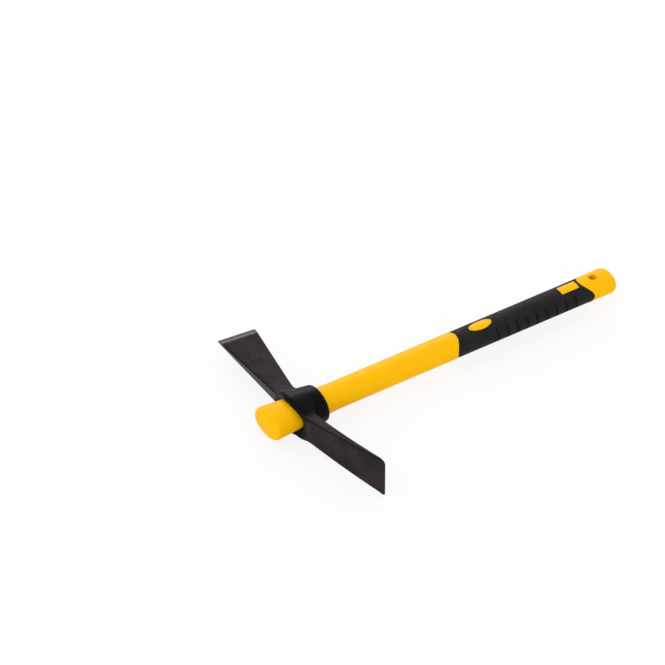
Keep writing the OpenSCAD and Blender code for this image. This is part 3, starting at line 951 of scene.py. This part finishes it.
# %% The glass fibre
RESIN, GLASS = tone(206, 196, 160), tone(232, 226, 200)
fibre, tree, shader, at = material("fibreglass", rough=0.35, specular=0.5)
strands = run(tree, streaks, at, Stretch=(12.0, 2600.0, 2600.0))["Value"]
feed(tree, shader["Base Color"], mix(tree, spread(tree, strands, low=0.35, high=0.65), RESIN, GLASS))
bump(tree, shader, strands, strength=0.2, distance=0.0002)
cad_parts["fibreglass_core"].data.materials[0] = fibre
print(fibre.name, len(tree.nodes), "nodes")

# %% [markdown]
# ## The head's finish
# The forging is dipped in dark paint. Round the eye it is nearly black and a little glossier. On the
# blades it is duller and mottled, because the skin of the forging shows through. The axe's narrow sides,
# where the flash was trimmed off, are lighter, and the corners along the faces get a dark line of painted
# shade. The bevels are ground after painting, with marks across the edge.
#
# Each of these could be a material of its own on its own faces, but the borders would then be as hard as
# the faces' edges. One material that reads the attributes of the points can fade from one to the next.

# %% Paint on the eye and on the blades
EYE_BLACK, PAINT_SPECK = tone(6, 4, 7), tone(30, 25, 29)
PAINT, PAINT_LIGHT = tone(32, 26, 31), tone(49, 37, 45)
BLADE_START, BLADE_FULL = 0.021, 0.031  # where the eye's paint turns into the blades', from the eye's middle
steel, tree, shader, at = material("forged_steel", rough=0.45, specular=0.06)
patchy = run(tree, mottle, at, Scale=55.0)
blade_paint = mix(tree, patchy["Value"], PAINT, PAINT_LIGHT)
blade_paint = mix(tree, share(tree, patchy["Fine"], 0.35), blade_paint, PAINT_SPECK)
centre = add(tree, "VectorMath", operation="SUBTRACT")
feed(tree, centre.inputs[0], at)
feed(tree, centre.inputs[1], EYE)
split = add(tree, "SeparateXYZ")
feed(tree, split.inputs[0], centre.outputs[0])
sideways = maths(tree, "ABSOLUTE", split.outputs["Y"])
on_blade = spread(tree, sideways, low=BLADE_START, high=BLADE_FULL)
paint = mix(tree, on_blade, EYE_BLACK, blade_paint)
print("paint", len(tree.nodes), "nodes")

# %% Trimmed sides and painted shade on the corners
FLASH_GREY, CORNER_PAINTED_SHADE = tone(84, 79, 83), tone(21, 17, 20)
flash = spread(tree, attribute(tree, "trimmed"), low=0.4, high=0.9)
worn = spread(tree, patchy["Fine"], to_low=0.6, to_high=1.0)
paint = mix(tree, share(tree, flash, worn), paint, FLASH_GREY)
# Painted shade: a dark line along the corners of the blades.
on_ridge = spread(tree, attribute(tree, "ridge"), low=0.1, high=0.5)
paint = mix(tree, share(tree, on_ridge, 0.75), paint, CORNER_PAINTED_SHADE)
print("paint, sides and corners", len(tree.nodes), "nodes")

# %% Ground bevels, gloss and dents
EDGE_GREY, BEVEL_GREY, MARK_GREY = tone(70, 64, 69), tone(108, 99, 105), tone(68, 62, 67)
GROUND_IN, GROUND_OUT, RAGGED = 0.0063, 0.0066, 0.0001  # where the grinding fades out, and its raggedness
to_edge = attribute(tree, "from_edge")
ragged = maths(tree, "ADD", to_edge, share(tree, maths(tree, "SUBTRACT", patchy["Fine"], 0.5), RAGGED))
ground = spread(tree, ragged, low=GROUND_IN, high=GROUND_OUT, to_low=1.0, to_high=0.0)
marks = run(tree, streaks, at, Stretch=(2400.0, 90.0, 90.0))["Value"]
bright = mix(tree, spread(tree, to_edge, low=0.0005, high=0.0065), EDGE_GREY, BEVEL_GREY)
bright = mix(tree, share(tree, marks, 0.4), bright, MARK_GREY)
feed(tree, shader["Base Color"], mix(tree, ground, paint, bright))
feed(tree, shader["Metallic"], share(tree, ground, 0.5))
dull = spread(tree, sideways, low=0.026, high=0.055, to_low=0.38, to_high=0.48)
feed(tree, shader["Roughness"], maths(tree, "ADD", dull, share(tree, patchy["Fine"], 0.08)))
dents = maths(tree, "ADD", patchy["Value"], share(tree, patchy["Fine"], 0.15))
bump(tree, shader, share(tree, on_blade, dents), strength=0.35, distance=0.0006)
forged_head.data.materials.append(steel)
print(steel.name, len(tree.nodes), "nodes")

# %% [markdown]
# ## A white floor
# The tool lies on plain white, as in a catalogue. A bright lamp on the floor would make it white too, but
# would also wash out the tool. So the floor mixes a plain grey surface, which takes the shadow, with a
# glow that only rays straight from the camera, or by way of a gloss, can see. It is level, just under the
# lowest corner of the adze, so that the head can slide to the butt without cutting into it.

# %% The floor
FLOOR_HALF, FLOOR_GAP = 6.0, 0.0002
FLOOR_GREY, FLOOR_GLOW = (0.9, 0.9, 0.9, 1), 0.85


def seen_directly(tree):
    """1 for what the camera sees, straight or by gloss or glass, and 0 for light that falls on the tool."""
    path = add(tree, "LightPath").outputs
    mirrored = maths(tree, "MAXIMUM", path["Is Glossy Ray"], path["Is Transmission Ray"])
    return maths(tree, "MAXIMUM", path["Is Camera Ray"], mirrored)


floor_z = cad_box[0][2] - FLOOR_GAP
floor_mesh = bmesh.new()
bmesh.ops.create_grid(floor_mesh, x_segments=1, y_segments=1, size=FLOOR_HALF,
                      matrix=Matrix.Translation((0, 0, floor_z)))
floor = as_piece(floor_mesh, "floor")
white = bpy.data.materials.new("white_floor")
white.use_nodes = True
tree = white.node_tree
tree.nodes.remove(tree.nodes["Principled BSDF"])
diffuse = add(tree, "BsdfDiffuse")
diffuse.inputs["Color"].default_value = FLOOR_GREY
blend = add(tree, "MixShader")
feed(tree, blend.inputs[0], share(tree, seen_directly(tree), FLOOR_GLOW))
feed(tree, blend.inputs[1], diffuse.outputs[0])
feed(tree, blend.inputs[2], add(tree, "Emission").outputs[0])
feed(tree, tree.nodes["Material Output"].inputs["Surface"], blend.outputs[0])
floor.data.materials.append(white)
floor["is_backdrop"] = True
print("floor at", round(floor_z, 4))

# %% [markdown]
# ## Soft light
# A product photograph is lit from all round, by soft boxes and pale walls. Many lamps could stand for the
# walls, but a pale world does it evenly and with less noise. Three large round lamps then give the forms
# some direction: one from above the head, one low in front for the rims, and one behind for the blades.

# %% World and lamps
WORLD_LIGHT = 0.91
world = bpy.data.worlds.new("studio")
scene.world = world
world.use_nodes = True
tree = world.node_tree
sky = tree.nodes["Background"].inputs
sky["Color"].default_value = (1, 1, 1, 1)
feed(tree, sky["Strength"], spread(tree, seen_directly(tree), to_low=WORLD_LIGHT, to_high=1.0))


def lamp(name, place, size, power, colour=(1, 1, 1)):
    """A round area lamp that looks at the frame's origin."""
    data = bpy.data.lights.new(name, "AREA")
    data.shape = "DISK"
    data.size = size
    data.energy = power
    data.color = colour
    obj = bpy.data.objects.new(name, data)
    obj.location = place
    obj.rotation_euler = (-Vector(place)).to_track_quat("-Z", "Y").to_euler()
    scene.collection.objects.link(obj)
    print("lamp", name, power, "W")


lamp("key", place=(-1.6, 0.2, 2.4), size=1.0, power=8)
lamp("front", place=(-1.3, -1.9, 0.5), size=0.8, power=6)
lamp("back", place=(1.25, 2.3, 1.15), size=0.7, power=13, colour=(1.0, 0.93, 1.0))

# %% [markdown]
# ## The camera
# The camera stands high on the head's side and looks down along the tool with a long lens, so the tool
# runs from the lower left to the upper right and fills the lower right part of the picture. A Track To
# constraint could aim it, but the two angles of the view are what was found from the photograph, so they
# set its three axes directly.

# %% Camera and view
AZIMUTH, ELEVATION, DISTANCE = math.radians(-33.5), math.radians(39.4), 6.5
AIM_RIGHT, AIM_UP = 0.02745, 0.0739  # the picture's middle, from the middle of the eye
LENS, SENSOR = 361.6, 36.0
right = Vector((math.cos(AZIMUTH), math.sin(AZIMUTH), 0))
toward = Vector((math.sin(AZIMUTH) * math.cos(ELEVATION),
                 -math.cos(AZIMUTH) * math.cos(ELEVATION),
                 math.sin(ELEVATION)))
up = toward.cross(right)
camera_data = bpy.data.cameras.new("camera")
camera_data.lens = LENS
camera_data.sensor_width = SENSOR
camera = bpy.data.objects.new("camera", camera_data)
camera.location = EYE + right * AIM_RIGHT + up * AIM_UP + toward * DISTANCE
camera.rotation_euler = Matrix((right, up, toward)).transposed().to_euler()
scene.collection.objects.link(camera)
scene.camera = camera
scene.view_settings.view_transform = "Standard"
print("camera at", [round(c, 3) for c in camera.location])

# %% [markdown]
# The smooth model may not outgrow the CAD model that it stands for. Both boxes could be compared by eye in
# the viewport. Written out side by side, they show even a tenth of a millimetre.

# %% Boxes and finish
boxes = {"cad": [list(c) for c in cad_box], "visual": [list(c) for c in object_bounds()]}
for name, corners in boxes.items():
    print(name, "box", [[round(c, 4) for c in corner] for corner in corners])
